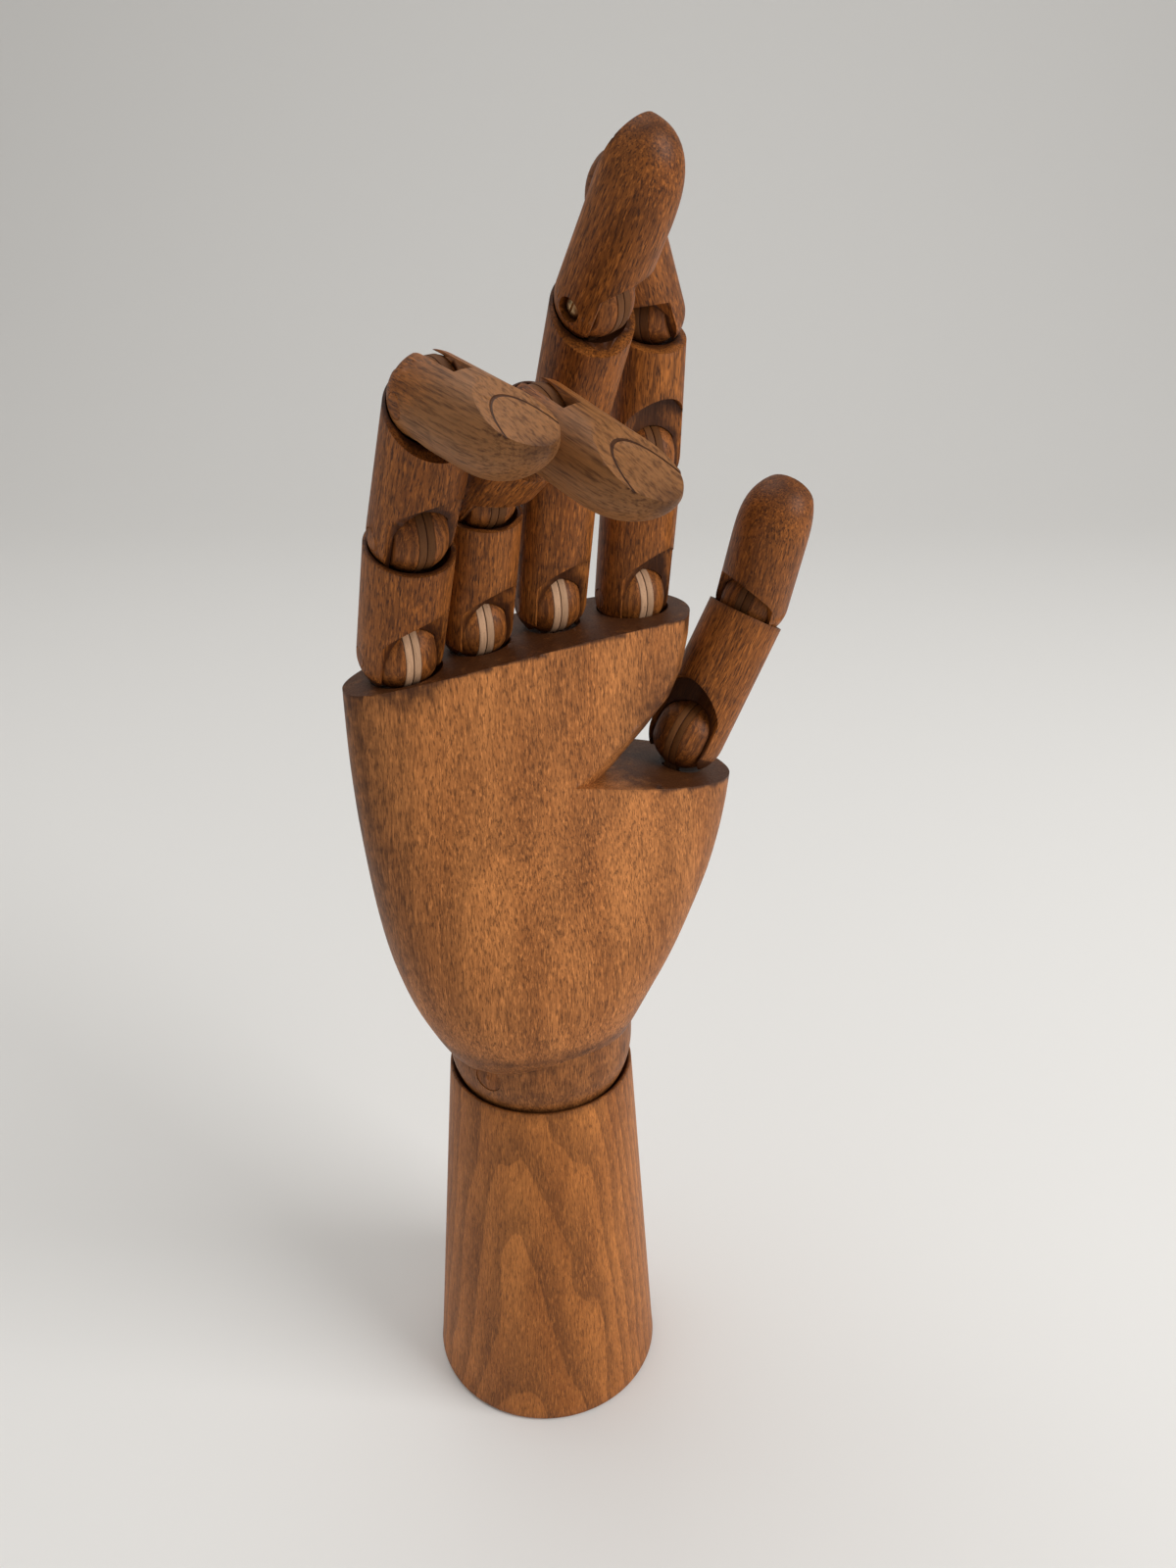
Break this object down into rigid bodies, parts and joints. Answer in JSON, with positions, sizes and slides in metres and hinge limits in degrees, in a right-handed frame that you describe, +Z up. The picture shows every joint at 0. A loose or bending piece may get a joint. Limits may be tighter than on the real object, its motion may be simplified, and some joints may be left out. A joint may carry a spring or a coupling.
{
  "type": "jointed hand model",
  "caption": "Life-size jointed wooden hand with a tapered forearm stand, ball-and-tongue finger joints on cross pins and a swivelling wrist.",
  "frame": {"origin": "centre of the forearm's flat underside", "axes": "+Z up along the forearm, the palm faces -Y, the thumb is on the +X side"},
  "size_m": [0.1019, 0.0947, 0.306],
  "materials": {
    "base_wood": "walnut-stained beech, satin",
    "plug_wood": "walnut-stained beech, unpolished",
    "palm_wood": "walnut-stained beech, satin",
    "finger_wood": "walnut-stained beech, satin, worn at the tips",
    "ball_wood": "dark stained beech",
    "tongue_wood": "pale unstained plywood edge",
    "pin_wood": "stained dowel end grain",
    "dowel_wood": "stained dowel end grain",
    "screw_metal": "plain brass, dull",
    "bolt_metal": "plain steel"
  },
  "bodies": {
    "base": {"forearm_base": "base_wood", "foot_plug": "plug_wood"},
    "wrist_bolt": {"wrist_eyebolt": "bolt_metal"},
    "wrist_rod": {"wrist_dowel": "dowel_wood"},
    "hand": {"palm": "palm_wood"},
    "pinky_proximal_knuckle": {"pinky_proximal_ball": "ball_wood", "pinky_proximal_tongue": "tongue_wood"},
    "pinky_proximal_finger": {"pinky_proximal_phalanx": "finger_wood", "pinky_proximal_pin": "pin_wood"},
    "pinky_middle_knuckle": {"pinky_middle_ball": "ball_wood", "pinky_middle_tongue": "tongue_wood"},
    "pinky_middle_finger": {"pinky_middle_phalanx": "finger_wood", "pinky_middle_pin": "pin_wood"},
    "pinky_distal_knuckle": {"pinky_distal_ball": "ball_wood", "pinky_distal_tongue": "tongue_wood"},
    "pinky_distal_finger": {"pinky_distal_phalanx": "finger_wood", "pinky_distal_pin": "pin_wood"},
    "ring_proximal_knuckle": {"ring_proximal_ball": "ball_wood", "ring_proximal_tongue": "tongue_wood"},
    "ring_proximal_finger": {"ring_proximal_phalanx": "finger_wood", "ring_proximal_pin": "pin_wood"},
    "ring_middle_knuckle": {"ring_middle_ball": "ball_wood", "ring_middle_tongue": "tongue_wood"},
    "ring_middle_finger": {"ring_middle_phalanx": "finger_wood", "ring_middle_pin": "pin_wood"},
    "ring_distal_knuckle": {"ring_distal_ball": "ball_wood", "ring_distal_tongue": "tongue_wood"},
    "ring_distal_finger": {"ring_distal_phalanx": "finger_wood", "ring_distal_pin": "pin_wood"},
    "middle_proximal_knuckle": {"middle_proximal_ball": "ball_wood", "middle_proximal_tongue": "tongue_wood"},
    "middle_proximal_finger": {"middle_proximal_phalanx": "finger_wood", "middle_proximal_pin": "pin_wood"},
    "middle_middle_knuckle": {"middle_middle_ball": "ball_wood", "middle_middle_tongue": "tongue_wood"},
    "middle_middle_finger": {"middle_middle_phalanx": "finger_wood", "middle_middle_pin": "pin_wood"},
    "middle_distal_knuckle": {"middle_distal_ball": "ball_wood", "middle_distal_tongue": "tongue_wood"},
    "middle_distal_finger": {"middle_distal_phalanx": "finger_wood", "middle_distal_screw": "screw_metal"},
    "index_proximal_knuckle": {"index_proximal_ball": "ball_wood", "index_proximal_tongue": "tongue_wood"},
    "index_proximal_finger": {"index_proximal_phalanx": "finger_wood", "index_proximal_pin": "pin_wood"},
    "index_middle_knuckle": {"index_middle_ball": "ball_wood", "index_middle_tongue": "tongue_wood"},
    "index_middle_finger": {"index_middle_phalanx": "finger_wood", "index_middle_pin": "pin_wood"},
    "index_distal_knuckle": {"index_distal_ball": "ball_wood", "index_distal_tongue": "tongue_wood"},
    "index_distal_finger": {"index_distal_phalanx": "finger_wood", "index_distal_pin": "pin_wood"},
    "thumb_proximal_knuckle": {"thumb_proximal_ball": "ball_wood", "thumb_proximal_tongue": "tongue_wood"},
    "thumb_proximal_finger": {"thumb_proximal_phalanx": "finger_wood", "thumb_proximal_pin": "pin_wood"},
    "thumb_distal_knuckle": {"thumb_distal_ball": "ball_wood", "thumb_distal_tongue": "tongue_wood"},
    "thumb_distal_finger": {"thumb_distal_phalanx": "finger_wood", "thumb_distal_pin": "pin_wood"}
  },
  "joints": [
    {"name": "wrist_turn", "type": "hinge", "parent": "base", "child": "wrist_bolt", "pos_m": [0, 0, 0.106], "axis": [0, 0, 1], "range_deg": [-170, 170]},
    {"name": "wrist_rock", "type": "hinge", "parent": "wrist_bolt", "child": "wrist_rod", "pos_m": [0, 0, 0.106], "axis": [0.5807, -0.8141, 0], "range_deg": [-11, 11]},
    {"name": "wrist_tilt", "type": "hinge", "parent": "wrist_rod", "child": "hand", "pos_m": [0, 0, 0.106], "axis": [-0.8141, -0.5807, 0], "range_deg": [-16, 16]},
    {"name": "pinky_proximal_swivel", "type": "hinge", "parent": "hand", "child": "pinky_proximal_knuckle", "pos_m": [-0.0285, -0.0011, 0.21036], "axis": [0, 0, 1], "range_deg": [-16.2, 0.8]},
    {"name": "pinky_proximal_bend", "type": "hinge", "parent": "pinky_proximal_knuckle", "child": "pinky_proximal_finger", "pos_m": [-0.0285, -0.0011, 0.21036], "axis": [0.9968, 0.0802, 0], "range_deg": [-40.6, 39.1]},
    {"name": "pinky_middle_swivel", "type": "hinge", "parent": "pinky_proximal_finger", "child": "pinky_middle_knuckle", "pos_m": [-0.02761, -0.01221, 0.23713], "axis": [0.0308, -0.3831, 0.9232], "range_deg": [-60, 2.9]},
    {"name": "pinky_middle_bend", "type": "hinge", "parent": "pinky_middle_knuckle", "child": "pinky_middle_finger", "pos_m": [-0.02761, -0.01221, 0.23713], "axis": [0.9892, 0.1442, 0.0268], "range_deg": [-43.6, 72.5]},
    {"name": "pinky_distal_swivel", "type": "hinge", "parent": "pinky_middle_finger", "child": "pinky_distal_knuckle", "pos_m": [-0.02615, -0.02699, 0.26308], "axis": [0.0485, -0.4944, 0.8679], "range_deg": [-60, 4]},
    {"name": "pinky_distal_bend", "type": "hinge", "parent": "pinky_distal_knuckle", "child": "pinky_distal_finger", "pos_m": [-0.02615, -0.02699, 0.26308], "axis": [0.968, 0.2374, 0.0811], "range_deg": [-95.8, 24]},
    {"name": "ring_proximal_swivel", "type": "hinge", "parent": "hand", "child": "ring_proximal_knuckle", "pos_m": [-0.0115, 0.0013, 0.21281], "axis": [0, 0, 1], "range_deg": [-0.2, 5.2]},
    {"name": "ring_proximal_bend", "type": "hinge", "parent": "ring_proximal_knuckle", "child": "ring_proximal_finger", "pos_m": [-0.0115, 0.0013, 0.21281], "axis": [0.9998, 0.0192, 0], "range_deg": [-2.4, 6]},
    {"name": "ring_middle_swivel", "type": "hinge", "parent": "ring_proximal_finger", "child": "ring_middle_knuckle", "pos_m": [-0.01134, -0.00688, 0.24136], "axis": [0.0053, -0.2756, 0.9613], "range_deg": [-0.4, 11]},
    {"name": "ring_middle_bend", "type": "hinge", "parent": "ring_middle_knuckle", "child": "ring_middle_finger", "pos_m": [-0.01134, -0.00688, 0.24136], "axis": [0.9904, 0.1345, 0.0331], "range_deg": [-9.9, 48.2]},
    {"name": "ring_distal_swivel", "type": "hinge", "parent": "ring_middle_finger", "child": "ring_distal_knuckle", "pos_m": [-0.00867, -0.03079, 0.25844], "axis": [0.0907, -0.8102, 0.5791], "range_deg": [-2.3, 33.6]},
    {"name": "ring_distal_bend", "type": "hinge", "parent": "ring_distal_knuckle", "child": "ring_distal_finger", "pos_m": [-0.00867, -0.03079, 0.25844], "axis": [0.9627, 0.2202, 0.1573], "range_deg": [-34.6, 39.8]},
    {"name": "middle_proximal_swivel", "type": "hinge", "parent": "hand", "child": "middle_proximal_knuckle", "pos_m": [0.0054, 0.0018, 0.21562], "axis": [0, 0, 1], "range_deg": [-1, 12.5]},
    {"name": "middle_proximal_bend", "type": "hinge", "parent": "middle_proximal_knuckle", "child": "middle_proximal_finger", "pos_m": [0.0054, 0.0018, 0.21562], "axis": [0.9997, -0.0227, 0], "range_deg": [-0.7, 6.9]},
    {"name": "middle_middle_swivel", "type": "hinge", "parent": "middle_proximal_finger", "child": "middle_middle_knuckle", "pos_m": [0.00522, -0.0062, 0.24845], "axis": [-0.0054, -0.2368, 0.9715], "range_deg": [-7, 21.9]},
    {"name": "middle_middle_bend", "type": "hinge", "parent": "middle_middle_knuckle", "child": "middle_middle_finger", "pos_m": [0.00522, -0.0062, 0.24845], "axis": [0.9991, -0.043, -0.005], "range_deg": [-1.5, 17.4]},
    {"name": "middle_distal_swivel", "type": "hinge", "parent": "middle_middle_finger", "child": "middle_distal_knuckle", "pos_m": [0.00456, -0.02483, 0.27772], "axis": [-0.0189, -0.5369, 0.8434], "range_deg": [-17.5, 33.6]},
    {"name": "middle_distal_bend", "type": "hinge", "parent": "middle_distal_knuckle", "child": "middle_distal_finger", "pos_m": [0.00456, -0.02483, 0.27772], "axis": [0.8989, 0.3602, 0.2495], "range_deg": [-23.7, 71]},
    {"name": "index_proximal_swivel", "type": "hinge", "parent": "hand", "child": "index_proximal_knuckle", "pos_m": [0.0246, 0.0019, 0.21441], "axis": [0, 0, 1], "range_deg": [-55.8, 51.9]},
    {"name": "index_proximal_bend", "type": "hinge", "parent": "index_proximal_knuckle", "child": "index_proximal_finger", "pos_m": [0.0246, 0.0019, 0.21441], "axis": [0.9986, 0.0523, 0], "range_deg": [-43.5, 1.5]},
    {"name": "index_middle_swivel", "type": "hinge", "parent": "index_proximal_finger", "child": "index_middle_knuckle", "pos_m": [0.02482, -0.00231, 0.24522], "axis": [0.0071, -0.1355, 0.9907], "range_deg": [-60, 60]},
    {"name": "index_middle_bend", "type": "hinge", "parent": "index_middle_knuckle", "child": "index_middle_finger", "pos_m": [0.02482, -0.00231, 0.24522], "axis": [0.9995, -0.0306, -0.0114], "range_deg": [-34.8, 3.1]},
    {"name": "index_distal_swivel", "type": "hinge", "parent": "index_middle_finger", "child": "index_distal_knuckle", "pos_m": [0.02508, -0.00389, 0.27258], "axis": [0.0096, -0.0574, 0.9983], "range_deg": [-60, 60]},
    {"name": "index_distal_bend", "type": "hinge", "parent": "index_distal_knuckle", "child": "index_distal_finger", "pos_m": [0.02508, -0.00389, 0.27258], "axis": [0.6985, -0.714, -0.0478], "range_deg": [-63, 5.4]},
    {"name": "thumb_proximal_swivel", "type": "hinge", "parent": "hand", "child": "thumb_proximal_knuckle", "pos_m": [0.0374, -0.002, 0.1804], "axis": [0.4462, 0, 0.8949], "range_deg": [-60, 60]},
    {"name": "thumb_proximal_bend", "type": "hinge", "parent": "thumb_proximal_knuckle", "child": "thumb_proximal_finger", "pos_m": [0.0374, -0.002, 0.1804], "axis": [0.5608, -0.7793, -0.2796], "range_deg": [-58.5, 23.8]},
    {"name": "thumb_distal_swivel", "type": "hinge", "parent": "thumb_proximal_finger", "child": "thumb_distal_knuckle", "pos_m": [0.0531, -0.00148, 0.21044], "axis": [0.4631, 0.0153, 0.8862], "range_deg": [-60, 60]},
    {"name": "thumb_distal_bend", "type": "hinge", "parent": "thumb_distal_knuckle", "child": "thumb_distal_finger", "pos_m": [0.0531, -0.00148, 0.21044], "axis": [0.6062, -0.7349, -0.3041], "range_deg": [-87.9, 51.5]}
  ]
}
